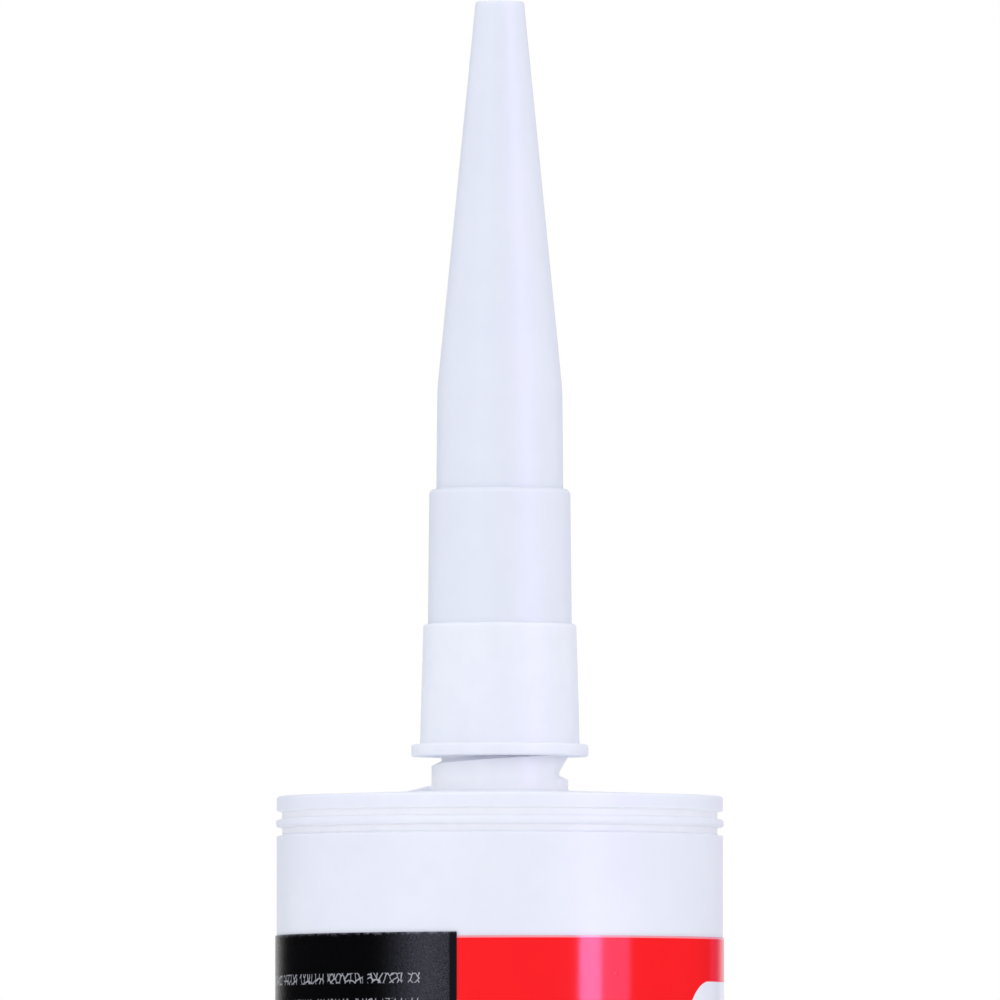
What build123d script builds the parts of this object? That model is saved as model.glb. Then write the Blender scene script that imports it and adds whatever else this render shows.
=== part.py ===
from build123d import *
import os
from math import atan, ceil, degrees, radians, tan

# Sealant cartridge with a screw-on nozzle. Millimetres, +Z up, origin at the centre of the open
# rear end, which is what the cartridge stands on. Five pieces, one node each.

# Barrel: tube, head and threaded neck in one moulding
BARREL_R = 24.8
WALL = 1.5
BORE_R = BARREL_R - WALL
RIM_Z = 215.0            # top of the rim round the head
HEAD_RISE = 0.6          # the head is a shallow cone, this much higher at the neck
HEAD_THICK = 1.7
HEAD_INNER_BLEND = 1.6   # radius inside the corner of tube and head
RIM_BLEND = 0.3
REAR_BLEND = 0.3

# Rear end: a slightly wider socket, where the piston goes in and a gun's plunger follows it
SOCKET_R = BORE_R + 0.2
SOCKET_DEPTH = 11.5
SOCKET_TAPER = 0.8
MOUTH_CHAMFER = 0.5

# Two grooves round the rim, with a rounded rib left between them
GROOVE_DEPTH = 0.6
GROOVE_WIDTH = 0.95
GROOVE_FLARE = 0.12      # each groove is this much wider at its mouth, on both sides
UPPER_GROOVE_TOP = RIM_Z - 1.6
LOWER_GROOVE_TOP = RIM_Z - 3.45
RIB_PROUD = 0.08
RIB_BLEND = 0.32
CUT_OUTSIDE = 1.0        # how far the rings that cut the grooves reach past the tube

# Neck: a collar, then a coarse right-hand thread, then a plain closed tip
NECK_BASE_Z = RIM_Z + HEAD_RISE
NECK_FOOT_BLEND = 0.35
THREAD_CREST_R = 7.6
THREAD_ROOT_R = 6.5
THREAD_PITCH = 3.0
THREAD_TOP_Z = 230.0
THREAD_CHAMFER = 0.8
GROOVE_FLAT = 0.45       # width of the flat at the thread's root
LOWER_FLANK_DEG = 55     # the side of the tooth that faces the barrel
UPPER_FLANK_DEG = 25     # the side of the tooth that faces the tip
THREAD_START_Z = 217.6   # height of the root where it passes the +X side
THREAD_START_DEG = -42   # the groove begins well in front of the +X side, so it shows there
THREAD_CUT_PAST = 0.2    # how far its cutting section reaches past the crest
TIP_FOOT_R = 6.1
TIP_TOP_R = 5.5
TIP_Z = 236.0
TIP_BLEND = 0.7
TIP_SKIN = 1.0           # closes the neck until it is cut
NECK_BORE_FOOT_R = 4.9
NECK_BORE_TOP_R = 4.5
NECK_BORE_BLEND = 1.2

# Lug: a small ramp on the head, at the neck's -X side
LUG_REACH = 10.6
LUG_HEIGHT = 0.75        # where it meets the collar
LUG_WIDTH = 2.4
LUG_SUNK = 0.5           # how deep its solid sits in the head and in the collar

# Nozzle, as it sits partly screwed down; heights are above its own lower end
NOZZLE_Z = 219.45
FLANGE_R = 9.84
FLANGE_THICK = 1.35
SKIRT_FOOT_R = 8.88
SKIRT_TOP_R = 8.5
SKIRT_TOP = 14.75
MIDDLE_FOOT_R = 8.0
MIDDLE_TOP_R = 7.84
MIDDLE_TOP = 29.75
THROAT_FOOT_R = 7.06
CONE_FOOT_R = 6.95
CONE_FOOT = 40.9
NOZZLE_TIP_R = 2.69
NOZZLE_LENGTH = 84.05
FLANGE_BLEND = 0.25
SKIRT_TOP_BLEND = 0.36
MIDDLE_TOP_BLEND = 0.6
CONE_FOOT_BLEND = 25.0
NOZZLE_TIP_BLEND = 0.3
SKIRT_BORE_R = 7.75      # clears the neck's crest, so that the nozzle can lift off
SKIRT_BORE_TOP = 13.9
SKIRT_LEAD_IN = 0.5
MIDDLE_BORE_FOOT = 14.8
MIDDLE_BORE_FOOT_R = 6.85
MIDDLE_BORE_TOP = 28.6
MIDDLE_BORE_TOP_R = 6.7
THROAT_BORE_FOOT = 29.6
THROAT_BORE_FOOT_R = 5.9
CONE_BORE_FOOT_R = 5.8
CONE_BORE_TOP = 82.5
CONE_BORE_TOP_R = 1.6

# Piston: a cup that opens to the rear, with a wiper lip at each end
PISTON_LENGTH = 18.0
PISTON_Z = 12.0          # its rear edge, so that a gun's plunger starts inside the tube
LIP_R = BORE_R - 0.05
PISTON_BODY_R = BORE_R - 0.55
LIP_HEIGHT = 2.4
LIP_SLOPE = 0.8
LIP_LEAD_IN = 0.4
LIP_LEAD_IN_HEIGHT = 0.6
PISTON_WALL = 1.3
PISTON_FACE = 1.6
PISTON_INNER_BLEND = 1.5
PISTON_EDGE = 1.2        # chamfer round the front face, clear of the blend inside the head

# Sealant: fills the tube from the piston to the head, and the neck
SEALANT_GAP = 0.1

# Label: one film, wrapped a little askew, so that its end laps over its start and sits higher
LABEL_THICK = 0.08
LABEL_GAP = 0.015        # adhesive
LABEL_LOW_Z = 20.0
LABEL_TALL = 179.15
LABEL_RISE = 0.45        # height gained in one turn
LABEL_SEAM_DEG = -101    # where its end lies, seen from the front a little to the left
LABEL_LAP_DEG = 12


def turned(corners):
    """Revolve a closed outline round Z. Each corner is (radius, height) or (radius, height, blend)."""
    section = make_face(Polyline([corner[:2] for corner in corners], close=True))
    for r, z, *blend in corners:
        if blend:
            vertex = section.vertices().sort_by_distance((r, z, 0))[0]
            section = fillet(vertex, blend[0])
    return revolve(Plane.XZ * section, Axis.Z)


def helix_from(pitch, turns, radius, z, degrees_round, cone_angle=0):
    """A right-hand helix that starts at height z, at an angle counted from +X."""
    path = Helix(pitch, pitch * turns, radius, cone_angle=cone_angle)
    return Pos(0, 0, z) * Rot(0, 0, degrees_round) * path


def rim_groove(top):
    """The ring that one rim groove takes away."""
    outside = BARREL_R + CUT_OUTSIDE
    return turned([
        (BARREL_R - GROOVE_DEPTH, top - GROOVE_WIDTH + GROOVE_FLARE),
        (BARREL_R, top - GROOVE_WIDTH),
        (outside, top - GROOVE_WIDTH),
        (outside, top),
        (BARREL_R, top),
        (BARREL_R - GROOVE_DEPTH, top - GROOVE_FLARE),
    ])


def rim_rib():
    """The rounded rib between the grooves, a hair proud of the tube."""
    low = LOWER_GROOVE_TOP
    high = UPPER_GROOVE_TOP - GROOVE_WIDTH
    inside = BARREL_R - GROOVE_DEPTH
    outside = BARREL_R + RIB_PROUD
    return turned([
        (inside, low), (outside, low, RIB_BLEND), (outside, high, RIB_BLEND), (inside, high),
    ])


def thread_groove():
    """The space between the thread's teeth, a helix that runs out at the thread's top. It comes in
    pieces that meet on the +X side, because that is where the neck's own cylinder has its seam."""
    reach = THREAD_CREST_R + THREAD_CUT_PAST - THREAD_ROOT_R
    half = GROOVE_FLAT / 2
    above = half + reach * tan(radians(LOWER_FLANK_DEG))
    below = half + reach * tan(radians(UPPER_FLANK_DEG))
    outer = THREAD_ROOT_R + reach
    outline = [(THREAD_ROOT_R, -half), (outer, -below), (outer, above), (THREAD_ROOT_R, half)]
    upright = Plane.XZ * make_face(Polyline(outline, close=True))
    turns = ceil((THREAD_TOP_Z - THREAD_START_Z) / THREAD_PITCH + 0.5)
    stops = [THREAD_START_DEG] + [360 * turn for turn in range(turns + 1)]
    pieces = []
    for begin, end in zip(stops, stops[1:]):
        z = THREAD_START_Z + THREAD_PITCH * begin / 360
        section = Pos(0, 0, z) * Rot(0, 0, begin) * upright
        path = helix_from(THREAD_PITCH, (end - begin) / 360, THREAD_ROOT_R, z, begin)
        pieces.append(sweep(section, path=path, is_frenet=True))
    return pieces


def lug():
    """The small ramp from the head up to the collar."""
    slope = LUG_HEIGHT / (LUG_REACH - THREAD_CREST_R)
    inner = THREAD_CREST_R - LUG_SUNK
    foot_share = (BARREL_R - LUG_REACH) / (BARREL_R - THREAD_CREST_R)
    low = RIM_Z + HEAD_RISE * foot_share
    outline = [
        (-LUG_REACH, low),
        (-inner, low + slope * (LUG_REACH - inner)),
        (-inner, low - LUG_SUNK),
        (-LUG_REACH, low - LUG_SUNK),
    ]
    return extrude(Plane.XZ * make_face(Polyline(outline, close=True)), LUG_WIDTH / 2, both=True)


def cartridge_barrel():
    under_rim = RIM_Z - HEAD_THICK
    under_neck = NECK_BASE_Z - HEAD_THICK
    body = turned([
        (BARREL_R, 0, REAR_BLEND),
        (BARREL_R, RIM_Z, RIM_BLEND),
        (THREAD_CREST_R, NECK_BASE_Z, NECK_FOOT_BLEND),
        (THREAD_CREST_R, THREAD_TOP_Z - THREAD_CHAMFER),
        (THREAD_CREST_R - THREAD_CHAMFER, THREAD_TOP_Z),
        (TIP_FOOT_R, THREAD_TOP_Z),
        (TIP_TOP_R, TIP_Z, TIP_BLEND),
        (0, TIP_Z),
        (0, TIP_Z - TIP_SKIN),
        (NECK_BORE_TOP_R, TIP_Z - TIP_SKIN, TIP_BLEND),
        (NECK_BORE_FOOT_R, under_neck, NECK_BORE_BLEND),
        (BORE_R, under_rim, HEAD_INNER_BLEND),
        (BORE_R, SOCKET_DEPTH + SOCKET_TAPER),
        (SOCKET_R, SOCKET_DEPTH),
        (SOCKET_R, MOUTH_CHAMFER),
        (SOCKET_R + MOUTH_CHAMFER, 0),
    ])
    body -= rim_groove(UPPER_GROOVE_TOP)
    body -= rim_groove(LOWER_GROOVE_TOP)
    body += rim_rib()
    body += lug()
    return body - thread_groove()


def nozzle():
    shape = turned([
        (SKIRT_BORE_R + SKIRT_LEAD_IN, 0),
        (FLANGE_R, 0, FLANGE_BLEND),
        (FLANGE_R, FLANGE_THICK, FLANGE_BLEND),
        (SKIRT_FOOT_R, FLANGE_THICK, FLANGE_BLEND),
        (SKIRT_TOP_R, SKIRT_TOP, SKIRT_TOP_BLEND),
        (MIDDLE_FOOT_R, SKIRT_TOP),
        (MIDDLE_TOP_R, MIDDLE_TOP, MIDDLE_TOP_BLEND),
        (THROAT_FOOT_R, MIDDLE_TOP),
        (CONE_FOOT_R, CONE_FOOT, CONE_FOOT_BLEND),
        (NOZZLE_TIP_R, NOZZLE_LENGTH, NOZZLE_TIP_BLEND),
        (0, NOZZLE_LENGTH),
        (0, CONE_BORE_TOP),
        (CONE_BORE_TOP_R, CONE_BORE_TOP, NOZZLE_TIP_BLEND),
        (CONE_BORE_FOOT_R, CONE_FOOT, CONE_FOOT_BLEND),
        (THROAT_BORE_FOOT_R, THROAT_BORE_FOOT),
        (MIDDLE_BORE_TOP_R, MIDDLE_BORE_TOP),
        (MIDDLE_BORE_FOOT_R, MIDDLE_BORE_FOOT),
        (SKIRT_BORE_R, SKIRT_BORE_TOP),
        (SKIRT_BORE_R, SKIRT_LEAD_IN),
    ])
    return Pos(0, 0, NOZZLE_Z) * shape


def piston():
    """Heights are above its rear edge. The front face slopes like the underside of the head."""
    face_rise = HEAD_RISE * PISTON_BODY_R / BORE_R
    waist_low = LIP_HEIGHT + LIP_SLOPE
    waist_high = PISTON_LENGTH - PISTON_EDGE - waist_low
    cup_r = PISTON_BODY_R - PISTON_WALL
    shape = turned([
        (cup_r, 0),
        (LIP_R - LIP_LEAD_IN, 0),
        (LIP_R, LIP_LEAD_IN_HEIGHT),
        (LIP_R, LIP_HEIGHT),
        (PISTON_BODY_R, waist_low),
        (PISTON_BODY_R, waist_high),
        (LIP_R, waist_high + LIP_SLOPE),
        (LIP_R, PISTON_LENGTH - PISTON_EDGE),
        (LIP_R - PISTON_EDGE, PISTON_LENGTH),
        (0, PISTON_LENGTH + face_rise),
        (0, PISTON_LENGTH + face_rise - PISTON_FACE),
        (cup_r, PISTON_LENGTH - PISTON_FACE, PISTON_INNER_BLEND),
    ])
    return Pos(0, 0, PISTON_Z) * shape


def sealant():
    """One solid, a small gap inside everything round it."""
    gap = SEALANT_GAP
    front = PISTON_Z + PISTON_LENGTH
    face_rise = HEAD_RISE * PISTON_BODY_R / BORE_R
    return turned([
        (0, front + face_rise + gap),
        (LIP_R - PISTON_EDGE, front + gap),
        (BORE_R - gap, front + gap),
        (BORE_R - gap, RIM_Z - HEAD_THICK - gap, HEAD_INNER_BLEND),
        (NECK_BORE_FOOT_R - gap, NECK_BASE_Z - HEAD_THICK - gap, NECK_BORE_BLEND),
        (NECK_BORE_TOP_R - gap, TIP_Z - TIP_SKIN - gap, TIP_BLEND),
        (0, TIP_Z - TIP_SKIN - gap),
    ])


def wrap_label():
    """A film wound once round the tube and a little further, drawn out along it."""
    growth = LABEL_THICK + LABEL_GAP / 2
    cone = degrees(atan(growth / LABEL_RISE))
    turns = 1 + LABEL_LAP_DEG / 360
    start = LABEL_SEAM_DEG - LABEL_LAP_DEG
    foot = helix_from(LABEL_RISE, turns, BARREL_R + LABEL_GAP, LABEL_LOW_Z, start, cone)
    head = Pos(0, 0, LABEL_TALL) * foot
    return thicken(Face.make_surface_from_curves(foot, head), LABEL_THICK)


NODES = {
    "cartridge_barrel": cartridge_barrel,
    "nozzle": nozzle,
    "piston": piston,
    "sealant": sealant,
    "wrap_label": wrap_label,
}


def write_nodes():
    os.makedirs("parts", exist_ok=True)
    for name, make in NODES.items():
        solid = make()
        export_step(solid, f"parts/{name}.step")
        print(name, round(solid.volume, 1), "mm3")


write_nodes()
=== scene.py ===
# %% [markdown]
# # A sealant cartridge with its nozzle screwed on
# A cartridge like this is three plastic mouldings, a paste and a paper-thin film. The tube has its head and
# its threaded neck moulded in one piece, the nozzle screws on the neck, and a piston follows the paste up
# the tube when a gun pushes it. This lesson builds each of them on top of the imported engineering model,
# which says where everything is, and gives each one the finish of the real material.

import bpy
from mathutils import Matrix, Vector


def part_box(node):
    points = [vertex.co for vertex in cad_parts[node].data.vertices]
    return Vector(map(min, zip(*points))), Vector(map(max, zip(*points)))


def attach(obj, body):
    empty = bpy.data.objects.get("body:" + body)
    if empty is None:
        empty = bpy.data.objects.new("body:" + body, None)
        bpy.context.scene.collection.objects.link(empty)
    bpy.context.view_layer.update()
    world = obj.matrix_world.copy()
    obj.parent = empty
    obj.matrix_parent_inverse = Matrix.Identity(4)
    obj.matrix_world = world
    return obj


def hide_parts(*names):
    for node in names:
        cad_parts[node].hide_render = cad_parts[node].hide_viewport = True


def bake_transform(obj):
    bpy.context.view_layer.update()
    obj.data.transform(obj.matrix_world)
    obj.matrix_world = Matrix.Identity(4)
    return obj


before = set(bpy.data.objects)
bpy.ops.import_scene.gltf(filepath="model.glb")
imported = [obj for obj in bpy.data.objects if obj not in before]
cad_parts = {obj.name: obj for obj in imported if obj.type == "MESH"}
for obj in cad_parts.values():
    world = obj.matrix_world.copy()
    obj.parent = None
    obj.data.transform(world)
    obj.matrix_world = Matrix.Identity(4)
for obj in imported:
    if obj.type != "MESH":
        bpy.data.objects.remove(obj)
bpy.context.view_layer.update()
for node in sorted(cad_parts):
    low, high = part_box(node)
    print(node, [round(v * 1000, 2) for v in low], [round(v * 1000, 2) for v in high])

# %% [markdown]
# Outlines are easiest to think about in millimetres, because that is how a moulder's drawing is written.
# Blender's scene is in metres, so every finished mesh is scaled down once, at the very end of its making.

# %% Units and the few helpers that every piece needs
from math import cos, pi, radians, sin, tan

import bmesh
import bpy
from mathutils import Matrix, Vector

MM = 0.001
FULL_TURN = 2 * pi
STEPS_ROUND = 192         # sides of a full turn, so that no flat shows on a 50 mm tube
EDGE_BLEND = 0.12         # the small radius that a mould leaves on an edge with no radius of its own
MERGE_MM = 0.0005


# %% [markdown]
# Every moulding here is a turned shape, so each starts as half of its section: a flat face on the XZ plane
# whose corners are (radius, height). Real mouldings have no knife edges, so each corner of that face is
# rounded with a vertex bevel. The bevel asks how far along the edges the round starts, which for a round
# of a given radius depends on the corner's angle.

# %% Half a section with rounded corners
def half_section(corners, blend_segments=5):
    """A flat face whose corners are (radius, height) or (radius, height, blend), in millimetres."""
    mesh = bmesh.new()
    points = [Vector((corner[0], 0, corner[1])) for corner in corners]
    verts = [mesh.verts.new(point) for point in points]
    mesh.faces.new(verts)
    count = len(points)
    for number, corner in enumerate(corners):
        blend = corner[2] if len(corner) > 2 else EDGE_BLEND
        if corner[0] == 0 or blend == 0:
            continue
        to_last = points[number - 1] - points[number]
        to_next = points[(number + 1) % count] - points[number]
        start = blend / tan(to_last.angle(to_next) / 2)
        bmesh.ops.bevel(
            mesh, geom=[verts[number]], offset=start, offset_type="OFFSET", affect="VERTICES",
            segments=blend_segments, profile=0.5, material=-1,
        )
    return mesh


# %% [markdown]
# Spinning the outline round Z makes the shell. The edge that lies on the axis is thrown away first, and the
# points left on the axis are merged after it, so that both poles are closed. Only then do the normals get
# recalculated, which is safe because the shell is one closed surface.

# %% From half a section to a closed turned shell
def turned_shell(corners, blend_segments=5):
    mesh = half_section(corners, blend_segments)
    bmesh.ops.delete(mesh, geom=mesh.faces[:], context="FACES_ONLY")
    on_axis = [e for e in mesh.edges if all(abs(v.co.x) < MERGE_MM for v in e.verts)]
    bmesh.ops.delete(mesh, geom=on_axis, context="EDGES")
    bmesh.ops.spin(
        mesh, geom=mesh.verts[:] + mesh.edges[:], cent=(0, 0, 0), axis=(0, 0, 1), dvec=(0, 0, 0),
        angle=FULL_TURN, steps=STEPS_ROUND, use_merge=True, use_duplicate=False,
    )
    bmesh.ops.remove_doubles(mesh, verts=mesh.verts[:], dist=MERGE_MM)
    bmesh.ops.recalc_face_normals(mesh, faces=mesh.faces[:])
    open_edges = sum(1 for e in mesh.edges if not e.is_manifold)
    print("turned shell:", len(mesh.faces), "faces,", open_edges, "open edges")
    return mesh


# %% [markdown]
# A screw thread is a small section carried round the axis while it climbs. The spin operator does exactly
# that when it is given a step along the axis as well as an angle. The two ends are then filled, which makes
# a closed coil that can be taken from a neck or added to a nozzle.

# %% A closed coil
def thread_coil(section, pitch, turns, low_z, start_degrees, steps_a_turn=64, fade_degrees=0, fade_r=0):
    """section is a list of (radius, height above the coil's own line), in millimetres. With fade_degrees
    the coil starts at radius fade_r and reaches its own depth that much further round."""
    mesh = bmesh.new()
    corners = [mesh.verts.new((r, 0, low_z + z)) for r, z in section]
    for number, corner in enumerate(corners):
        mesh.edges.new((corner, corners[(number + 1) % len(corners)]))
    turn_to_start = Matrix.Rotation(radians(start_degrees), 4, "Z")
    bmesh.ops.transform(mesh, matrix=turn_to_start, verts=mesh.verts[:])
    steps = round(steps_a_turn * turns)
    bmesh.ops.spin(
        mesh, geom=mesh.verts[:] + mesh.edges[:], cent=(0, 0, 0), axis=(0, 0, 1),
        dvec=(0, 0, pitch * turns / steps), angle=FULL_TURN * turns, steps=steps,
        use_merge=False, use_duplicate=False,
    )
    for number, vert in enumerate(mesh.verts):
        degrees_round = number // len(section) * 360 / steps_a_turn
        if degrees_round < fade_degrees:
            r = (vert.co.x ** 2 + vert.co.y ** 2) ** 0.5
            faded_r = fade_r + (r - fade_r) * degrees_round / fade_degrees if r < fade_r else r
            vert.co.x *= faded_r / r
            vert.co.y *= faded_r / r
    bmesh.ops.holes_fill(mesh, edges=[e for e in mesh.edges if e.is_boundary], sides=0)
    bmesh.ops.recalc_face_normals(mesh, faces=mesh.faces[:])
    return mesh


# %% [markdown]
# Adding to a moulding or cutting from it is a Boolean modifier, which is applied at once so that the piece
# keeps one plain mesh. Edges sharper than a set angle are marked sharp, and the rest shade smooth.

# %% Meshes into objects, and Booleans
SHARP_DEGREES = 38


def as_object(name, mesh):
    data = bpy.data.meshes.new(name)
    mesh.to_mesh(data)
    mesh.free()
    piece = bpy.data.objects.new(name, data)
    bpy.context.scene.collection.objects.link(piece)
    return piece


def joined_or_cut(piece, tool_mesh, operation):
    """operation is UNION to add the tool to the piece, or DIFFERENCE to cut it away."""
    tool = as_object("tool", tool_mesh)
    boolean = piece.modifiers.new("tool", "BOOLEAN")
    boolean.object = tool
    boolean.operation = operation
    boolean.solver = "EXACT"
    evaluated = piece.evaluated_get(bpy.context.evaluated_depsgraph_get())
    made = bpy.data.meshes.new_from_object(evaluated)
    piece.modifiers.clear()
    old, piece.data = piece.data, made
    bpy.data.meshes.remove(old)
    bpy.data.objects.remove(tool)


def finished(piece, body, node):
    """Scale a piece to metres, shade it, hang it on its body, and hide the engineering part that it stands
    for.
    A piece that stretches between two bodies is given body None here, and is hung on neither."""
    piece.data.transform(Matrix.Scale(MM, 4))
    mesh = bmesh.new()
    mesh.from_mesh(piece.data)
    for face in mesh.faces:
        face.smooth = True
    for edge in mesh.edges:
        edge.smooth = edge.calc_face_angle(0) < radians(SHARP_DEGREES)
    mesh.to_mesh(piece.data)
    mesh.free()
    weights = piece.modifiers.new("flat faces stay flat", "WEIGHTED_NORMAL")
    weights.weight = 100
    weights.keep_sharp = True
    if body:
        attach(piece, body)
    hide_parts(node)
    print(piece.name, len(piece.data.polygons), "faces, rides on", body or "two bodies")


# %% [markdown]
# ## The barrel
# The tube, its head and the neck are one moulding. Two grooves run round the rim, with a rounded rib left
# between them. The outline goes up the outside, over the head, up the neck, and back down the inside to the
# open rear end.

# %% Barrel outline
TUBE_R = 24.8
BORE_R = 23.3
RIM_Z = 215.0
HEAD_RISE = 0.6
HEAD_THICK = 1.7
NECK_BASE_Z = RIM_Z + HEAD_RISE
THREAD_CREST_R = 7.6
THREAD_ROOT_R = 6.5
THREAD_TOP_Z = 230.0
THREAD_CHAMFER = 0.8
TIP_Z = 236.0
TIP_SKIN = 1.0
TIP_FOOT_R = 6.1
TIP_R = 5.5
TIP_BLEND = 0.7
TIP_BORE_R = 4.5
NECK_BORE_R = 4.9
NECK_MOUTH_BLEND = 1.2
HEAD_CORNER_BLEND = 1.6

GROOVE_R = TUBE_R - 0.6
GROOVES_FOOT_Z = 210.6
GROOVES_TOP_Z = 213.4
GROOVE_SLANT = 0.12       # how much a groove's outer side leans
RIB_R = TUBE_R + 0.08
RIB_FOOT_Z = 211.55
RIB_TOP_Z = 212.45
RIB_BLEND = 0.32
RIM_BLEND = 0.3

SOCKET_R = BORE_R + 0.2
SOCKET_DEPTH = 11.5
SOCKET_TAPER = 0.8
LEAD_IN = 0.5             # the bevel at the socket's mouth

barrel_corners = [
    (TUBE_R, 0, RIM_BLEND),
    (TUBE_R, GROOVES_FOOT_Z, 0.14),
    (GROOVE_R, GROOVES_FOOT_Z + GROOVE_SLANT, 0.1),
    (GROOVE_R, RIB_FOOT_Z, 0.1),
    (RIB_R, RIB_FOOT_Z, RIB_BLEND),
    (RIB_R, RIB_TOP_Z, RIB_BLEND),
    (GROOVE_R, RIB_TOP_Z, 0.1),
    (GROOVE_R, GROOVES_TOP_Z - GROOVE_SLANT, 0.1),
    (TUBE_R, GROOVES_TOP_Z, 0.14),
    (TUBE_R, RIM_Z, RIM_BLEND),
    (THREAD_CREST_R, NECK_BASE_Z, 0.35),
    (THREAD_CREST_R, THREAD_TOP_Z - THREAD_CHAMFER),
    (THREAD_CREST_R - THREAD_CHAMFER, THREAD_TOP_Z),
    (TIP_FOOT_R, THREAD_TOP_Z),
    (TIP_R, TIP_Z, TIP_BLEND),
    (0, TIP_Z),
    (0, TIP_Z - TIP_SKIN),
    (TIP_BORE_R, TIP_Z - TIP_SKIN, TIP_BLEND),
    (NECK_BORE_R, NECK_BASE_Z - HEAD_THICK, NECK_MOUTH_BLEND),
    (BORE_R, RIM_Z - HEAD_THICK, HEAD_CORNER_BLEND),
    (BORE_R, SOCKET_DEPTH + SOCKET_TAPER),
    (SOCKET_R, SOCKET_DEPTH),
    (SOCKET_R, LEAD_IN),
    (SOCKET_R + LEAD_IN, 0),
]
barrel = as_object("barrel", turned_shell(barrel_corners))

# %% [markdown]
# The neck's thread is coarse, 3 mm from turn to turn. It is cut with a coil whose upper side slopes more
# than its lower one. The neck has a plain foot, the collar. The coil starts just above it, where it fades in
# from nothing, and runs out through the top of the thread.

# %% The neck's thread
THREAD_PITCH = 3.0
GROOVE_START_Z = 217.25
GROOVE_START_DEGREES = -42
GROOVE_HALF_FLAT = 0.225
UPPER_SLOPE = tan(radians(55))
LOWER_SLOPE = tan(radians(25))
FADE_DEGREES = 38
CUT_PAST = 0.2            # how far outside the thread's crests the coil reaches


def thread_section(inner_r, outer_r, clearance):
    """The groove's section, or a ridge that fills it with some clearance on every side."""
    def half_height(r, slope, sign):
        spread = GROOVE_HALF_FLAT + (r - THREAD_ROOT_R) * slope
        return sign * (spread - clearance * (1 + slope * slope) ** 0.5)
    return [
        (inner_r, half_height(inner_r, LOWER_SLOPE, -1)),
        (outer_r, half_height(outer_r, LOWER_SLOPE, -1)),
        (outer_r, half_height(outer_r, UPPER_SLOPE, 1)),
        (inner_r, half_height(inner_r, UPPER_SLOPE, 1)),
    ]


groove_turns = (THREAD_TOP_Z + THREAD_PITCH / 2 - GROOVE_START_Z) / THREAD_PITCH
groove = thread_coil(
    thread_section(THREAD_ROOT_R, THREAD_CREST_R + CUT_PAST, 0), THREAD_PITCH, groove_turns,
    GROOVE_START_Z, GROOVE_START_DEGREES, fade_degrees=FADE_DEGREES, fade_r=THREAD_CREST_R + CUT_PAST / 2,
)
joined_or_cut(barrel, groove, "DIFFERENCE")

# %% [markdown]
# A small ramp rises on the head to the collar's left side. When the nozzle is screwed home, its flange ends
# just above it. It is a wedge: a side view extruded to its width, with its two long top edges eased.

# %% The ramp beside the collar
RAMP_REACH = 10.6
RAMP_HEIGHT = 0.75
RAMP_WIDTH = 2.4
RAMP_SUNK = 0.5
RAMP_BLEND = 0.25
NEAR_MM = 0.01

ramp_foot_z = RIM_Z + HEAD_RISE * (TUBE_R - RAMP_REACH) / (TUBE_R - THREAD_CREST_R)
ramp_inner = THREAD_CREST_R - RAMP_SUNK
ramp_slope = RAMP_HEIGHT / (RAMP_REACH - THREAD_CREST_R)
ramp = bmesh.new()
side = ramp.faces.new([ramp.verts.new((x, -RAMP_WIDTH / 2, z)) for x, z in (
    (-RAMP_REACH, ramp_foot_z),
    (-ramp_inner, ramp_foot_z + ramp_slope * (RAMP_REACH - ramp_inner)),
    (-ramp_inner, ramp_foot_z - RAMP_SUNK),
    (-RAMP_REACH, ramp_foot_z - RAMP_SUNK),
)])
far_side = bmesh.ops.extrude_face_region(ramp, geom=[side], use_keep_orig=True)["geom"]
far_verts = [v for v in far_side if isinstance(v, bmesh.types.BMVert)]
bmesh.ops.translate(ramp, vec=(0, RAMP_WIDTH, 0), verts=far_verts)
bmesh.ops.recalc_face_normals(ramp, faces=ramp.faces[:])
top_edges = [
    e for e in ramp.edges
    if all(v.co.z > ramp_foot_z - NEAR_MM for v in e.verts)
    and abs(e.verts[0].co.y - e.verts[1].co.y) < NEAR_MM
]
bmesh.ops.bevel(
    ramp, geom=top_edges, offset=RAMP_BLEND, offset_type="OFFSET", affect="EDGES", segments=3, profile=0.5,
    material=-1,
)
joined_or_cut(barrel, ramp, "UNION")
finished(barrel, "cartridge", "cartridge_barrel")

# %% [markdown]
# ## The nozzle
# The nozzle is moulded over a long core pin, so it is a hollow skirt, a slimmer middle and a long cone. The
# steps outside follow the steps inside, which keeps the wall even. Its tip is closed until the user cuts it.

# %% Nozzle outline
NOZZLE_Z = 219.45
FLANGE_R = 9.84
FLANGE_TALL = 1.35
FLANGE_BLEND = 0.25
SKIRT_TALL = 14.75
MIDDLE_TALL = 29.75
SHOULDER_UP = 40.9
SHOULDER_BLEND = 25
NOZZLE_TALL = 84.05
NOZZLE_BORE_TALL = 82.5
NOZZLE_TIP_BLEND = 0.3
SKIRT_BORE_R = 7.75
NOZZLE_LEAD_IN = 0.5

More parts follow.
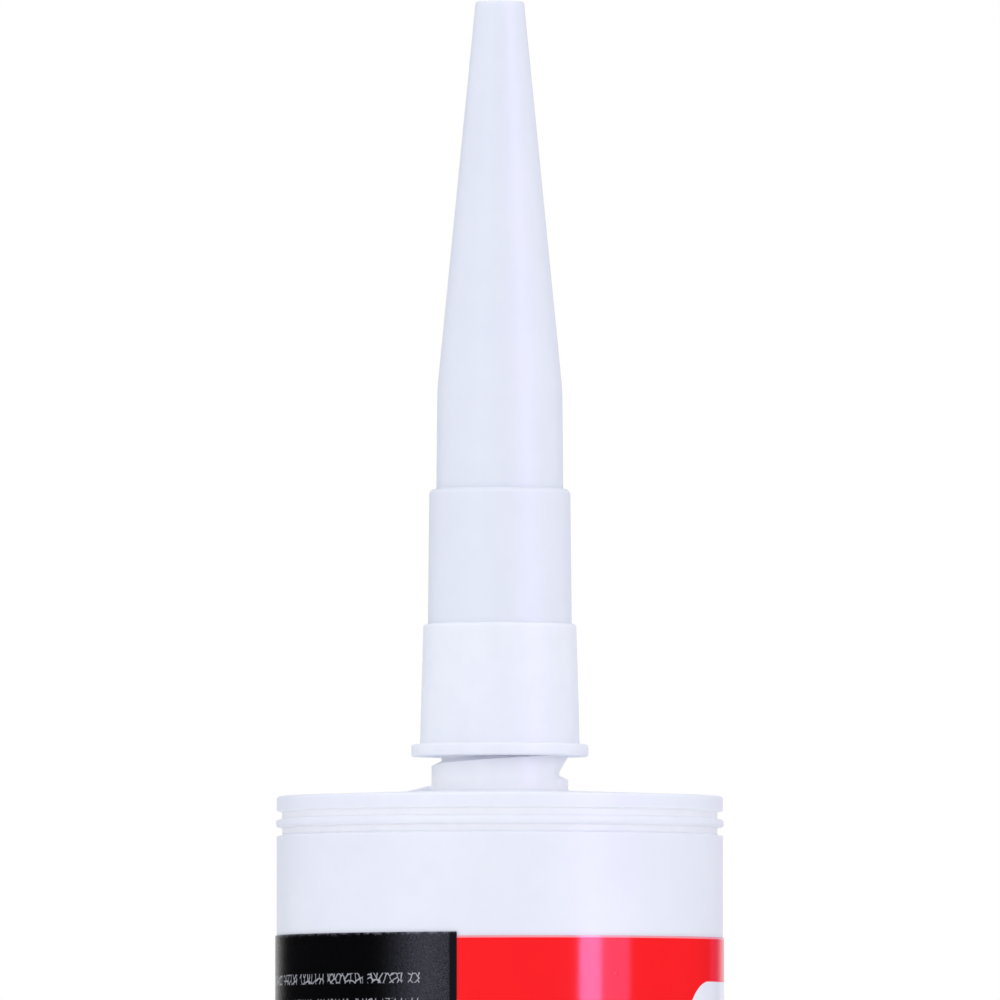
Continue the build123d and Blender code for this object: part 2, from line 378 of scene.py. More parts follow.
nozzle_corners = [
    (SKIRT_BORE_R + NOZZLE_LEAD_IN, 0),
    (FLANGE_R, 0, FLANGE_BLEND),
    (FLANGE_R, FLANGE_TALL, FLANGE_BLEND),
    (8.88, FLANGE_TALL, FLANGE_BLEND),
    (8.5, SKIRT_TALL, 0.36),
    (8.0, SKIRT_TALL, 0.1),
    (7.84, MIDDLE_TALL, 0.6),
    (7.06, MIDDLE_TALL, 0.15),
    (6.95, SHOULDER_UP, SHOULDER_BLEND),
    (2.69, NOZZLE_TALL, NOZZLE_TIP_BLEND),
    (0, NOZZLE_TALL),
    (0, NOZZLE_BORE_TALL),
    (1.6, NOZZLE_BORE_TALL, NOZZLE_TIP_BLEND),
    (5.8, SHOULDER_UP, SHOULDER_BLEND),
    (5.9, 29.6),
    (6.7, 28.6),
    (6.85, 14.8),
    (SKIRT_BORE_R, 13.9),
    (SKIRT_BORE_R, NOZZLE_LEAD_IN),
]
nozzle_corners = [(r, z + NOZZLE_Z, *blend) for r, z, *blend in nozzle_corners]
nozzle = as_object("screw_nozzle", turned_shell(nozzle_corners, blend_segments=6))

# %% [markdown]
# Inside the skirt a ridge fits the neck's groove. It has the groove's own section, a little smaller, and
# starts far enough up that it still sits in the groove when the nozzle is a full turn further down.

# %% The nozzle's own thread
RIDGE_CLEARANCE = 0.12
RIDGE_START_TURNS = 1.3
RIDGE_TURNS = 3.3
RIDGE_CREST_R = THREAD_ROOT_R + 0.15
RIDGE_ROOT_R = 7.95

ridge = thread_coil(
    thread_section(RIDGE_CREST_R, RIDGE_ROOT_R, RIDGE_CLEARANCE), THREAD_PITCH, RIDGE_TURNS,
    GROOVE_START_Z + THREAD_PITCH * RIDGE_START_TURNS,
    GROOVE_START_DEGREES + 360 * RIDGE_START_TURNS,
)
joined_or_cut(nozzle, ridge, "UNION")
finished(nozzle, "nozzle", "nozzle")

# %% [markdown]
# ## The piston
# The piston is a cup that opens to the rear, with a wiper lip at each end that keeps the paste from
# creeping past it. Its front slopes like the inside of the head, so that little paste is left behind.

# %% Piston
PISTON_Z = 12.0
PISTON_TALL = 18.0
CUP_DEPTH = 16.4
LIP_R = BORE_R - 0.05
FRONT_CHAMFER = 1.2
WAIST_R = BORE_R - 0.55
WAIST_BLEND = 0.4
CUP_R = WAIST_R - 1.3
CUP_BLEND = 1.5
FACE_RISE = HEAD_RISE * WAIST_R / BORE_R

piston_corners = [
    (CUP_R, 0),
    (LIP_R - 0.4, 0),
    (LIP_R, 0.6),
    (LIP_R, 2.4),
    (WAIST_R, 3.2, WAIST_BLEND),
    (WAIST_R, 13.6, WAIST_BLEND),
    (LIP_R, 14.4),
    (LIP_R, PISTON_TALL - FRONT_CHAMFER),
    (LIP_R - FRONT_CHAMFER, PISTON_TALL),
    (0, PISTON_TALL + FACE_RISE),
    (0, CUP_DEPTH + FACE_RISE),
    (CUP_R, CUP_DEPTH, CUP_BLEND),
]
piston_corners = [(r, z + PISTON_Z, *blend) for r, z, *blend in piston_corners]
piston = as_object("follower_piston", turned_shell(piston_corners))
finished(piston, "piston", "piston")

# %% [markdown]
# ## The paste
# The filling takes the shape of everything round it, a hair smaller. In use it gets shorter as the piston
# goes forward. It has no points between its rear face and its front, so its side stays straight.

# %% Sealant
PASTE_GAP = 0.1
PASTE_R = BORE_R - PASTE_GAP
PASTE_REAR_Z = PISTON_Z + PISTON_TALL + PASTE_GAP

paste_corners = [
    (0, PASTE_REAR_Z + FACE_RISE),
    (LIP_R - FRONT_CHAMFER, PASTE_REAR_Z, 0),
    (PASTE_R, PASTE_REAR_Z - (PASTE_R - LIP_R + FRONT_CHAMFER), 0),
    (PASTE_R, RIM_Z - HEAD_THICK - PASTE_GAP, HEAD_CORNER_BLEND),
    (NECK_BORE_R - PASTE_GAP, NECK_BASE_Z - HEAD_THICK - PASTE_GAP, NECK_MOUTH_BLEND),
    (TIP_BORE_R - PASTE_GAP, TIP_Z - TIP_SKIN - PASTE_GAP, TIP_BLEND),
    (0, TIP_Z - TIP_SKIN - PASTE_GAP),
]
sealant = as_object("sealant_filling", turned_shell(paste_corners))
finished(sealant, None, "sealant")
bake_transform(sealant)

# %% [markdown]
# ## The label
# The label is one printed film, wound once round the tube. It was stuck on a little askew, so its end laps
# over its start and sits 0.45 mm higher. An upright edge spun with a small climb gives that, and drawing
# each turn out a little makes room for the lap. The print follows the film, so the film gets its own map:
# how far along it a point is, and how high up it, both in metres.

# %% Label
FILM_THICK = 0.08
FILM_GAP = 0.015
FILM_LOW_Z = 20.0
FILM_TALL = 179.15
FILM_RISE = 0.45
SEAM_DEGREES = -101
LAP_DEGREES = 12
FILM_TURNS = 1 + LAP_DEGREES / 360
FILM_GROWTH = FILM_THICK + FILM_GAP / 2
FILM_FOOT_R = TUBE_R + FILM_GAP
MM_A_TURN = FULL_TURN * TUBE_R
FILM_LENGTH = FILM_TURNS * MM_A_TURN


def turns_along(point):
    """How many turns from the film's start a point is, found from its height, which climbs steadily."""
    low = FILM_LOW_Z if point.z < FILM_LOW_Z + FILM_TALL / 2 else FILM_LOW_Z + FILM_TALL
    return (point.z - low) / FILM_RISE


film = bmesh.new()
foot = film.verts.new((FILM_FOOT_R, 0, FILM_LOW_Z))
head = film.verts.new((FILM_FOOT_R, 0, FILM_LOW_Z + FILM_TALL))
film.edges.new((foot, head))
turn_to_start = Matrix.Rotation(radians(SEAM_DEGREES - LAP_DEGREES), 4, "Z")
bmesh.ops.transform(film, matrix=turn_to_start, verts=film.verts[:])
film_steps = round(STEPS_ROUND * FILM_TURNS)
bmesh.ops.spin(
    film, geom=film.verts[:] + film.edges[:], cent=(0, 0, 0), axis=(0, 0, 1),
    dvec=(0, 0, FILM_RISE * FILM_TURNS / film_steps), angle=FULL_TURN * FILM_TURNS, steps=film_steps,
    use_merge=False, use_duplicate=False,
)
print_map = film.loops.layers.uv.new("print")
for face in film.faces:
    for loop in face.loops:
        turns = turns_along(loop.vert.co)
        height = loop.vert.co.z - FILM_LOW_Z - turns * FILM_RISE
        loop[print_map].uv = (turns * MM_A_TURN * MM, height * MM)
for vert in film.verts:
    drawn_out = 1 + FILM_GROWTH * turns_along(vert.co) / FILM_FOOT_R
    vert.co.x *= drawn_out
    vert.co.y *= drawn_out
bmesh.ops.recalc_face_normals(film, faces=film.faces[:])
middle = film.faces[0].calc_center_median()
if film.faces[0].normal.dot(Vector((middle.x, middle.y, 0))) < 0:
    bmesh.ops.reverse_faces(film, faces=film.faces[:])
bmesh.ops.solidify(film, geom=film.faces[:], thickness=-FILM_THICK)
bmesh.ops.recalc_face_normals(film, faces=film.faces[:])
radii = [(v.co.x ** 2 + v.co.y ** 2) ** 0.5 for v in film.verts]
print("film runs from radius", round(min(radii), 3), "to", round(max(radii), 3))
label = as_object("label", film)
finished(label, "cartridge", "wrap_label")

# %% [markdown]
# ## Finishes
# A finish is a small tree of nodes. These helpers add a node, set its plain values and connect sockets, so
# that each finish below reads as a list of what it is made of. All patterns hang on the piece's own
# coordinates, so they stay put when the piece moves.

# %% Helpers for node trees
def new_finish(name):
    material = bpy.data.materials.new(name)
    material.use_nodes = True
    tree = material.node_tree
    shader = tree.nodes["Principled BSDF"]
    return material, tree, shader


def add_node(tree, kind, **values):
    node = tree.nodes.new(kind)
    for key, value in values.items():
        setattr(node, key, value)
    return node


def feed(tree, socket, source):
    """Connect a socket to another node's output, or set it when it's given a plain number."""
    if isinstance(source, bpy.types.NodeSocket):
        tree.links.new(source, socket)
    else:
        socket.default_value = source


def maths(tree, operation, first, second=0.0, third=0.0, clamp=False):
    """One step of arithmetic on up to three sockets or plain numbers."""
    node = add_node(tree, "ShaderNodeMath", operation=operation, use_clamp=clamp)
    for socket, source in zip(node.inputs, (first, second, third)):
        feed(tree, socket, source)
    return node.outputs[0]


def ramp_between(tree, value, low, high, at_low=0.0, at_high=1.0):
    """Goes smoothly from at_low to at_high while value goes from low to high, and stays there past them."""
    node = add_node(tree, "ShaderNodeMapRange", interpolation_type="SMOOTHSTEP")
    for socket, source in zip(node.inputs, (value, low, high, at_low, at_high)):
        feed(tree, socket, source)
    return node.outputs[0]


def blend_colours(tree, share, first, second):
    node = add_node(tree, "ShaderNodeMix", data_type="RGBA")
    feed(tree, node.inputs["Factor"], share)
    for name, source in (("A", first), ("B", second)):
        socket = [s for s in node.inputs if s.name == name and s.type == "RGBA"][0]
        feed(tree, socket, source)
    return [s for s in node.outputs if s.type == "RGBA"][0]


def noise(tree, place, scale, detail=3.0, roughness=0.5):
    node = add_node(tree, "ShaderNodeTexNoise")
    feed(tree, node.inputs["Vector"], place)
    feed(tree, node.inputs["Scale"], scale)
    feed(tree, node.inputs["Detail"], detail)
    feed(tree, node.inputs["Roughness"], roughness)
    return node.outputs["Fac"]


def stretched(tree, place, stretch):
    node = add_node(tree, "ShaderNodeMapping")
    feed(tree, node.inputs["Vector"], place)
    node.inputs["Scale"].default_value = stretch
    return node.outputs["Vector"]


def bumped(tree, height, strength, distance, under=None):
    node = add_node(tree, "ShaderNodeBump")
    node.inputs["Strength"].default_value = strength
    node.inputs["Distance"].default_value = distance
    feed(tree, node.inputs["Height"], height)
    if under is not None:
        feed(tree, node.inputs["Normal"], under)
    return node.outputs["Normal"]


# %% [markdown]
# The mouldings are milky polyethylene. Light goes a little way in and comes out again, which is what
# subsurface scattering is for. The colour is faintly cloudy, the surface carries fine upright drag marks
# from the mould, and handling leaves small dull scuffs. Light that comes through a real wall brightens its
# grooves and hollows, which scattering alone doesn't show here, so painted light is put into the colour:
# those zones, and a few faces that come out darker than the rest, get a paler colour.

# %% Moulded polyethylene
# painted light: the pale tone that is blended in where shade would fall
PAINTED_LIGHT_TONE = (0.96, 0.965, 0.985, 1)
SCUFFED = (0.7, 0.71, 0.74, 1)
ZONE_SOFT_Z = 0.0002
ZONE_SOFT_R = 0.0001
EVERY_R = 30              # a radius in millimetres that is outside every piece


def milky_plastic(name, tint, deep_tint, dull, drag_marks, painted_light_zones):
    """Each zone of painted light is (lowest height, highest height, greatest radius, share), in millimetres.
    It makes the colour paler where shade would fall.
    """
    material, tree, shader = new_finish(name)
    place = add_node(tree, "ShaderNodeTexCoord").outputs["Object"]
    clouds = noise(tree, place, 55, 4)
    mottle = noise(tree, place, 420, 3)
    upright = noise(tree, stretched(tree, place, (1, 1, 0.03)), 900, 3)
    grain = noise(tree, place, 5200, 2)
    scuff_field = noise(tree, stretched(tree, place, (1, 1, 0.5)), 260, 5, 0.7)
    scuffs = ramp_between(tree, scuff_field, 0.66, 0.74)
    cloudiness = ramp_between(tree, clouds, 0.35, 0.65)
    colour = blend_colours(tree, cloudiness, (*tint, 1), (*deep_tint, 1))
    axes = add_node(tree, "ShaderNodeSeparateXYZ")
    feed(tree, axes.inputs[0], place)
    x, y, z = (axes.outputs[axis] for axis in "XYZ")
    radius = maths(tree, "SQRT", maths(tree, "MULTIPLY_ADD", x, x, maths(tree, "MULTIPLY", y, y)))
    for low_mm, high_mm, within_mm, share in painted_light_zones:
        low, high, within = low_mm * MM, high_mm * MM, within_mm * MM
        above = ramp_between(tree, z, low - ZONE_SOFT_Z, low + ZONE_SOFT_Z)
        below = ramp_between(tree, z, high - ZONE_SOFT_Z, high + ZONE_SOFT_Z, share, 0.0)
        inside = ramp_between(tree, radius, within - ZONE_SOFT_R, within + ZONE_SOFT_R, 1.0, 0.0)
        zone = maths(tree, "MULTIPLY", maths(tree, "MULTIPLY", above, below), inside)
        # painted light: each zone's colour is blended towards the pale tone
        colour = blend_colours(tree, zone, colour, PAINTED_LIGHT_TONE)
    mottle_share = ramp_between(tree, mottle, 0.4, 0.7, 0.0, 0.12)
    colour = blend_colours(tree, mottle_share, colour, tuple(c * 0.93 for c in deep_tint) + (1,))
    colour = blend_colours(tree, maths(tree, "MULTIPLY", scuffs, 0.1), colour, SCUFFED)
    feed(tree, shader.inputs["Base Color"], colour)
    uneven = maths(tree, "MULTIPLY_ADD", upright, 0.16, dull - 0.08)
    uneven = maths(tree, "MULTIPLY_ADD", scuffs, 0.2, uneven, clamp=True)
    feed(tree, shader.inputs["Roughness"], uneven)
    surface = bumped(tree, grain, 0.25, 0.00002)
    surface = bumped(tree, upright, drag_marks, 0.00003, surface)
    surface = bumped(tree, clouds, 0.3, 0.00015, surface)
    feed(tree, shader.inputs["Normal"], surface)
    shader.inputs["IOR"].default_value = 1.5
    shader.inputs["Specular IOR Level"].default_value = 0.35
    shader.inputs["Subsurface Weight"].default_value = 0.25
    shader.inputs["Subsurface Radius"].default_value = (1.0, 0.95, 0.9)
    shader.inputs["Subsurface Scale"].default_value = 0.0012
    return material


def give_look(piece, look):
    """Give a piece this finish and no other."""
    piece.data.materials.clear()
    piece.data.materials.append(look)


give_look(barrel, milky_plastic(
    "barrel_plastic_look", (0.81, 0.82, 0.875), (0.79, 0.80, 0.865), dull=0.36, drag_marks=0.12,
    # painted light: the rim grooves, the neck and the neck's shaded foot are painted paler
    painted_light_zones=[
        (210.8, 211.6, EVERY_R, 0.85),        # the lower rim groove
        (212.5, 213.4, EVERY_R, 0.85),        # the upper rim groove
        (215.7, 237, 7.9, 0.35),              # the whole neck
        (215.7, 219.7, 7.9, 0.85),            # the neck's foot, which the nozzle's flange shades
    ],
))
give_look(nozzle, milky_plastic(
    "nozzle_plastic_look", (0.768, 0.784, 0.845), (0.75, 0.766, 0.835), dull=0.42, drag_marks=0.10,
    # painted light: the skirt, the flange and the inside of the skirt are painted paler
    painted_light_zones=[
        (219, 234.2, EVERY_R, 0.33),          # the skirt
        (219, 220.8, EVERY_R, 0.1),           # the flange
        (219, 233.5, 8.0, 0.95),              # inside the skirt
    ],
))
give_look(piston, milky_plastic(
    "piston_plastic_look", (0.80, 0.82, 0.86), (0.77, 0.80, 0.85), dull=0.40, drag_marks=0.15,
    painted_light_zones=[],
))

# %% [markdown]
# The paste is a smooth, wet-looking filling with soft folds where it was pumped in.

# %% Sealant paste
PASTE_TONES = (0.84, 0.84, 0.85, 1), (0.79, 0.79, 0.81, 1)

paste_look, paste_tree, paste_shader = new_finish("sealant_paste_look")
paste_place = add_node(paste_tree, "ShaderNodeTexCoord").outputs["Object"]
folds = noise(paste_tree, stretched(paste_tree, paste_place, (1, 1, 2.5)), 120, 4)
fold_share = ramp_between(paste_tree, folds, 0.35, 0.65)
feed(paste_tree, paste_shader.inputs["Base Color"], blend_colours(
    paste_tree, fold_share, *PASTE_TONES))
feed(paste_tree, paste_shader.inputs["Roughness"], ramp_between(paste_tree, folds, 0.3, 0.7, 0.18, 0.3))
feed(paste_tree, paste_shader.inputs["Normal"], bumped(paste_tree, folds, 0.5, 0.0004))
paste_shader.inputs["Subsurface Weight"].default_value = 0.2
paste_shader.inputs["Subsurface Scale"].default_value = 0.002
give_look(sealant, paste_look)

# %% [markdown]
# ## The print
# The label has a red field, a black panel at the film's lapping end with rows of pale strokes where small
# print would be, and a blank white panel with round corners. Each shape is a mask made from the film's own
# map. The helpers below give a soft-edged mask between two limits, and one with round corners.

# %% Masks on the film
label_look, film_tree, film_shader = new_finish("label_film_look")
film_map = add_node(film_tree, "ShaderNodeUVMap", uv_map="print").outputs["UV"]
film_axes = add_node(film_tree, "ShaderNodeSeparateXYZ")
feed(film_tree, film_axes.inputs[0], film_map)
along_mm = maths(film_tree, "MULTIPLY", film_axes.outputs["X"], 1000)
up_mm = maths(film_tree, "MULTIPLY", film_axes.outputs["Y"], 1000)
film_place = add_node(film_tree, "ShaderNodeTexCoord").outputs["Object"]
SOFT_MM = 0.04            # how soft a printed edge is


def past(value, limit):
    """1 where value is past limit, with a printed edge's softness."""
    return ramp_between(film_tree, value, limit - SOFT_MM, limit + SOFT_MM)


def short_of(value, limit):
    return ramp_between(film_tree, value, limit - SOFT_MM, limit + SOFT_MM, 1.0, 0.0)


def both(first, second):
    return maths(film_tree, "MULTIPLY", first, second)


def between(value, low, high):
    return both(past(value, low), short_of(value, high))


def round_cornered(left, right, low, high, corner):
    """A panel with round corners: a point is in it when it is no further than a corner's radius from the
    inner rectangle."""
    def outside(value, near, far):
        centre, half = (near + far) / 2, (far - near) / 2 - corner
        away = maths(film_tree, "ABSOLUTE", maths(film_tree, "SUBTRACT", value, centre))
        return maths(film_tree, "MAXIMUM", maths(film_tree, "SUBTRACT", away, half), 0.0)
    across, upward = outside(along_mm, left, right), outside(up_mm, low, high)
    reach = maths(film_tree, "SQRT", maths(
        film_tree, "ADD", both(across, across), both(upward, upward)))
    return short_of(reach, corner)


# %% [markdown]
# Small print can't be read from arm's length: it looks like rows of pale broken strokes. So each row here
# is a low bar that shows the edges of a bent cell pattern, which look like strokes and mean nothing. A
# one-dimensional cell pattern, shifted from row to row, leaves gaps between word-like lengths.

# %% Rows of strokes on the black panel
PANEL_START_MM = FILM_LENGTH - 51
ROW_PITCH = 2.8
TOP_ROW_MM = 174.1
ROW_COUNT = 24
ROW_HALF_HEIGHT = 0.5
ROWS_END_MM = FILM_LENGTH - 4.1
ROWS_START_MM = PANEL_START_MM + 5
ROW_SHIFT_MM = 37.7       # how far the pattern moves on from one row to the next
WORDS_A_MM = 0.2          # word-like lengths to a millimetre
STROKES_A_MM = 1.6        # cells of the stroke pattern to a millimetre


def cell_gaps(value, cells_a_mm, gap_share):
    """0 in the gaps between cells of uneven length, 1 inside them."""
    node = add_node(film_tree, "ShaderNodeTexVoronoi", voronoi_dimensions="1D", feature="DISTANCE_TO_EDGE")
    feed(film_tree, node.inputs["W"], value)
    feed(film_tree, node.inputs["Scale"], cells_a_mm)
    feed(film_tree, node.inputs["Randomness"], 0.9)
    return ramp_between(film_tree, node.outputs["Distance"], gap_share * 0.5, gap_share)


below_first_row = maths(film_tree, "SUBTRACT", TOP_ROW_MM + ROW_PITCH / 2, up_mm)
row_place = maths(film_tree, "DIVIDE", below_first_row, ROW_PITCH)
row_number = maths(film_tree, "FLOOR", row_place)
from_row_middle = maths(film_tree, "MULTIPLY", maths(film_tree, "ABSOLUTE", maths(
    film_tree, "SUBTRACT", maths(film_tree, "FRACT", row_place), 0.5)), ROW_PITCH)
row_shift = maths(film_tree, "MULTIPLY_ADD", row_number, ROW_SHIFT_MM, along_mm)
in_row = ramp_between(film_tree, from_row_middle, ROW_HALF_HEIGHT, ROW_HALF_HEIGHT + 0.12, 1.0, 0.0)
words = cell_gaps(row_shift, WORDS_A_MM, 0.09)
squiggle_place = add_node(film_tree, "ShaderNodeCombineXYZ")
feed(film_tree, squiggle_place.inputs["X"], row_shift)
feed(film_tree, squiggle_place.inputs["Y"], maths(film_tree, "MULTIPLY", up_mm, 0.75))
bent = add_node(film_tree, "ShaderNodeVectorMath", operation="ADD")
feed(film_tree, bent.inputs[0], squiggle_place.outputs[0])
feed(film_tree, bent.inputs[1], maths(film_tree, "MULTIPLY", noise(
    film_tree, squiggle_place.outputs[0], STROKES_A_MM, 1.0), 0.5))
squiggles = add_node(film_tree, "ShaderNodeTexVoronoi", voronoi_dimensions="2D", feature="DISTANCE_TO_EDGE")
feed(film_tree, squiggles.inputs["Vector"], bent.outputs[0])
feed(film_tree, squiggles.inputs["Scale"], STROKES_A_MM)
strokes = ramp_between(film_tree, squiggles.outputs["Distance"], 0.03, 0.14, 1.0, 0.0)
rows_up = between(up_mm, TOP_ROW_MM - ROW_PITCH * (ROW_COUNT - 0.5), TOP_ROW_MM + ROW_PITCH / 2)
rows_along = between(along_mm, ROWS_START_MM, ROWS_END_MM)
small_print = both(both(both(in_row, words), strokes), both(rows_up, rows_along))

# %% [markdown]
# The colours are laid over each other: red everywhere, then the white panel, the white line and the low
# band, the black panel and its rows of strokes. The red stops a hair short of the film's top edge, so a
# paler line shows there. The black's top edge is slightly ragged and carries a painted grey highlight, and
# near the end of the film the black carries fine pale specks, a painted grainy sheen.

# %% Colours of the print
RED = (0.99, 0.0125, 0.0165, 1)
DEEP_RED = (0.97, 0.0115, 0.0155, 1)
BLACK = (0.0012, 0.0012, 0.0018, 1)
STROKE_GREY = (0.36, 0.36, 0.39, 1)
PANEL_WHITE = (0.84, 0.85, 0.9, 1)
BARE_FILM = (0.9, 0.42, 0.5, 1)
# the grey of a painted highlight and painted sheen on the black panel
SHEEN_GREY = (0.2, 0.2, 0.24, 1)
RED_MARGIN_MM = 0.22
LOW_BAND_MM = (14, 32)
WHITE_LINE_MM = (33.2, 34.2)
SPECKS_START_MM = FILM_LENGTH - 10
SPECKS_FULL_MM = FILM_LENGTH - 3
SPECKS_END_MM = FILM_LENGTH - 0.7

print_clouds = noise(film_tree, film_place, 140, 3)
edge_wobble = noise(film_tree, film_place, 1500, 4, 0.7)
red = blend_colours(film_tree, ramp_between(film_tree, print_clouds, 0.35, 0.65), RED, DEEP_RED)
not_panel = short_of(along_mm, PANEL_START_MM)
margin = both(past(up_mm, FILM_TALL - RED_MARGIN_MM), not_panel)
ink = blend_colours(film_tree, both(margin, 0.75), red, BARE_FILM)
white_panel = round_cornered(left=34.5, right=88, low=92, high=174.2, corner=5)
ink = blend_colours(film_tree, white_panel, ink, PANEL_WHITE)
ink = blend_colours(film_tree, between(up_mm, *WHITE_LINE_MM), ink, PANEL_WHITE)
ink = blend_colours(film_tree, between(up_mm, *LOW_BAND_MM), ink, BLACK)
black_panel = past(along_mm, PANEL_START_MM)
ink = blend_colours(film_tree, black_panel, ink, BLACK)
ragged_height = maths(film_tree, "MULTIPLY_ADD", maths(film_tree, "SUBTRACT", edge_wobble, 0.5), 1.6, up_mm)
# painted highlight: grey along the black's ragged top edge
ragged_top_highlight = both(ramp_between(film_tree, ragged_height, FILM_TALL - 0.3, FILM_TALL + 0.2), black_panel)
ink = blend_colours(film_tree, both(ragged_top_highlight, 0.7), ink, SHEEN_GREY)
ink_grain = noise(film_tree, film_place, 2800, 4, 0.75)
fine_grain = noise(film_tree, film_place, 6500, 3, 0.7)
# painted sheen: pale grey specks on the black near the film's end stand in for a grainy reflection
sheen_specks_stretch = both(
    ramp_between(film_tree, along_mm, SPECKS_START_MM, SPECKS_FULL_MM), short_of(along_mm, SPECKS_END_MM))
painted_sheen_specks = both(ramp_between(film_tree, fine_grain, 0.46, 0.66), both(sheen_specks_stretch, black_panel))
ink = blend_colours(film_tree, both(painted_sheen_specks, 0.16), ink, SHEEN_GREY)
ink = blend_colours(film_tree, small_print, ink, STROKE_GREY)
feed(film_tree, film_shader.inputs["Base Color"], ink)

# %% [markdown]
# The film is glossy, with the faint orange-peel of varnish. Over the black panel the ink is heavier and
# its surface is grainy, so a lamp's reflection breaks up there. The cut end of the film is dull. A few
# specks of dust are trapped under the film.

# %% Gloss and grain of the film
DULL_END_MM = (FILM_LENGTH - 0.9, FILM_LENGTH - 0.6)

peel = noise(film_tree, film_place, 700, 2)
dust_cells = add_node(film_tree, "ShaderNodeTexVoronoi", feature="F1")
feed(film_tree, dust_cells.inputs["Vector"], film_place)
feed(film_tree, dust_cells.inputs["Scale"], 380)
dust = ramp_between(film_tree, dust_cells.outputs["Distance"], 0.03, 0.08, 1.0, 0.0)
film_surface = bumped(film_tree, peel, 0.12, 0.00002)
film_surface = bumped(film_tree, both(ink_grain, black_panel), 0.6, 0.00005, film_surface)
film_surface = bumped(film_tree, dust, 0.4, 0.00004, film_surface)
feed(film_tree, film_shader.inputs["Normal"], film_surface)
varnish = maths(film_tree, "MULTIPLY_ADD", print_clouds, 0.05, 0.09)
grainy = ramp_between(film_tree, ink_grain, 0.42, 0.6, 0.2, 0.14)
dull_end = ramp_between(film_tree, along_mm, *DULL_END_MM)
grainy = maths(film_tree, "MAXIMUM", grainy, dull_end)
dullness = maths(film_tree, "MULTIPLY_ADD", black_panel, maths(
    film_tree, "SUBTRACT", grainy, varnish), varnish)
feed(film_tree, film_shader.inputs["Roughness"], dullness)
film_shader.inputs["IOR"].default_value = 1.5
give_look(label, label_look)

# %% [markdown]
# ## The studio
# The cartridge stands on a plain pale floor in a white room. For the light that it throws back the floor is
# white, so that grooves and undersides stay bright, but the camera sees it a little darker, so that the
# white plastics stand out from it.

# %% Floor
FLOOR_R = 30
FLOOR_WHITE = (0.88, 0.88, 0.89, 1), (0.86, 0.86, 0.87, 1)
FLOOR_PALE = (0.62, 0.62, 0.63, 1), (0.6, 0.6, 0.61, 1)

floor_mesh = bmesh.new()
bmesh.ops.create_circle(floor_mesh, cap_ends=True, cap_tris=False, segments=96, radius=FLOOR_R)
floor = as_object("floor", floor_mesh)
floor_look, floor_tree, floor_shader = new_finish("floor_look")
floor_place = add_node(floor_tree, "ShaderNodeTexCoord").outputs["Object"]
floor_tone = ramp_between(floor_tree, noise(floor_tree, floor_place, 3, 4), 0.3, 0.7)
floor_ray = add_node(floor_tree, "ShaderNodeLightPath").outputs["Is Camera Ray"]
feed(floor_tree, floor_shader.inputs["Base Color"], blend_colours(
    floor_tree, floor_ray, blend_colours(floor_tree, floor_tone, *FLOOR_WHITE),
    blend_colours(floor_tree, floor_tone, *FLOOR_PALE)))
floor_shader.inputs["Roughness"].default_value = 0.9
floor_shader.inputs["Specular IOR Level"].default_value = 0.05
floor.data.materials.append(floor_look)
floor.visible_glossy = False

# %% [markdown]
# What lights the cartridge is even, but what shines on it is not: level with it the room is dark, which is
# what keeps a glossy black black, and it brightens above, below and far behind. Milky plastic passes light
# on many times between close walls, so rays are allowed more bounces than usual.

# %% Room
ROOM_LIGHT = (1.123, 1.149, 1.21, 1)
ROOM_SHINE = 0.4
LEVEL_SHINE = 0.015
BACK_SHINE = 0.75
LEVEL_DEGREES = (22, 50)  # darkest within the first angle from level, brightest beyond the second
BACK_DEGREES = (32, 6)    # how far off straight behind the glow starts, and where it is full
WHITE = (1, 1, 1, 1)
BOUNCES = 12

room = bpy.data.worlds.new("room")
room.use_nodes = True
bpy.context.scene.world = room
room_tree = room.node_tree
room_axes = add_node(room_tree, "ShaderNodeSeparateXYZ")
feed(room_tree, room_axes.inputs[0], add_node(room_tree, "ShaderNodeTexCoord").outputs["Generated"])
off_level = maths(room_tree, "ABSOLUTE", room_axes.outputs["Z"])
level_shine = ramp_between(
    room_tree, off_level, *(sin(radians(angle)) for angle in LEVEL_DEGREES), LEVEL_SHINE, ROOM_SHINE)
back_shine = ramp_between(
    room_tree, room_axes.outputs["Y"], *(cos(radians(angle)) for angle in BACK_DEGREES), 0.0, BACK_SHINE)
shine = maths(room_tree, "MAXIMUM", level_shine, back_shine)
ray = add_node(room_tree, "ShaderNodeLightPath")
tone = blend_colours(room_tree, ray.outputs["Is Glossy Ray"], ROOM_LIGHT, shine)
tone = blend_colours(room_tree, ray.outputs["Is Camera Ray"], tone, WHITE)
feed(room_tree, room_tree.nodes["Background"].inputs["Color"], tone)
bpy.context.scene.view_settings.view_transform = "Standard"
bpy.context.scene.cycles.diffuse_bounces = BOUNCES

# %% [markdown]
# Soft boxes give a round shape its upright bands of shine. A soft box is described here by what matters:
# between which angles it stands, seen from above and counted from the front towards the right, and how
# bright its face is. All stand equally far away and high. A lamp's power follows from its brightness and
# its area. The boxes only shine on glossy surfaces, because the room already gives the even light.

# %% Soft boxes
BOX_AWAY = 1.3
BOX_LOW = 0.05
BOX_HIGH = 1.5


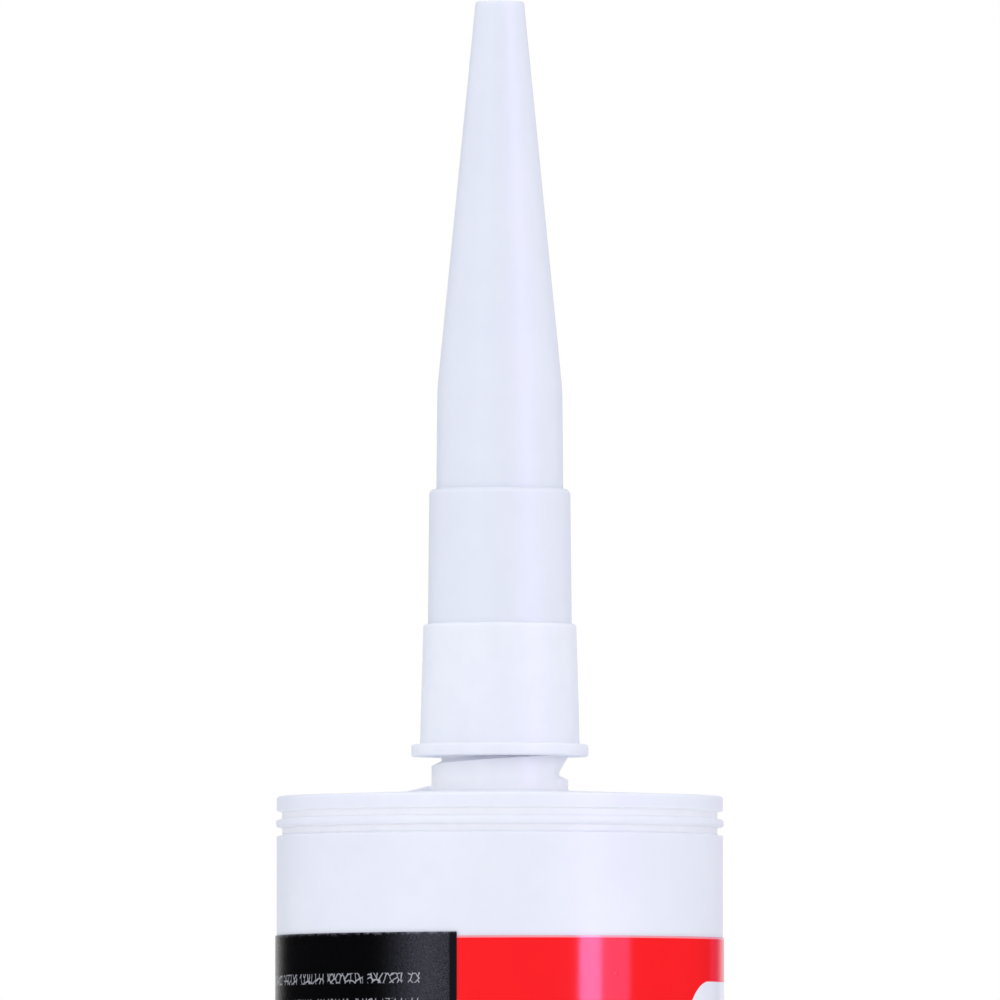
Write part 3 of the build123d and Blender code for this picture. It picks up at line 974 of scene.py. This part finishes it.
def soft_box(name, from_degrees, to_degrees, brightness, colour):
    middle_angle = radians((from_degrees + to_degrees) / 2)
    width = 2 * BOX_AWAY * tan(radians(to_degrees - from_degrees) / 2)
    height = BOX_HIGH - BOX_LOW
    lamp = bpy.data.lights.new(name, "AREA")
    lamp.shape = "RECTANGLE"
    lamp.size, lamp.size_y = width, height
    lamp.energy = brightness * pi * width * height
    lamp.color = colour
    box = bpy.data.objects.new(name, lamp)
    bpy.context.scene.collection.objects.link(box)
    box.location = (BOX_AWAY * sin(middle_angle), -BOX_AWAY * cos(middle_angle), (BOX_LOW + BOX_HIGH) / 2)
    box.rotation_euler = (radians(90), 0, middle_angle)
    box.visible_camera = False
    box.visible_diffuse = False
    print(name, "stands", round(width, 2), "m wide, power", round(lamp.energy, 1), "W")


COOL = (0.74, 0.76, 1.0)
VIOLET = (0.6, 0.41, 1.0)
soft_box("left_box", -48, -23, 1.5, COOL)
soft_box("left_box_edge", -54, -48, 0.5, COOL)
soft_box("right_box", 41, 53, 10.0, VIOLET)
soft_box("right_box_edge", 53, 70, 2.5, VIOLET)
soft_box("rim_box", 138, 164, 0.2, VIOLET)

# %% [markdown]
# The camera stands three metres back with a long lens, a little above the table, looking slightly up to
# the nozzle. From there the tube's sides look parallel.

# %% Camera
CAMERA_AWAY = 3.0
CAMERA_HEIGHT = 0.15
AIM_HEIGHT = 0.248
CAMERA_RIGHT = 0.00002
FRAME_WIDTH = 0.1112

lens_to_aim = Vector((0, CAMERA_AWAY, AIM_HEIGHT - CAMERA_HEIGHT))
camera_data = bpy.data.cameras.new("camera")
camera_data.sensor_width = 36
camera_data.lens = camera_data.sensor_width * lens_to_aim.length / FRAME_WIDTH
camera = bpy.data.objects.new("camera", camera_data)
bpy.context.scene.collection.objects.link(camera)
camera.location = (CAMERA_RIGHT, -CAMERA_AWAY, CAMERA_HEIGHT)
camera.rotation_euler = lens_to_aim.to_track_quat("-Z", "Y").to_euler()
bpy.context.scene.camera = camera
print("lens", round(camera_data.lens, 1), "mm")
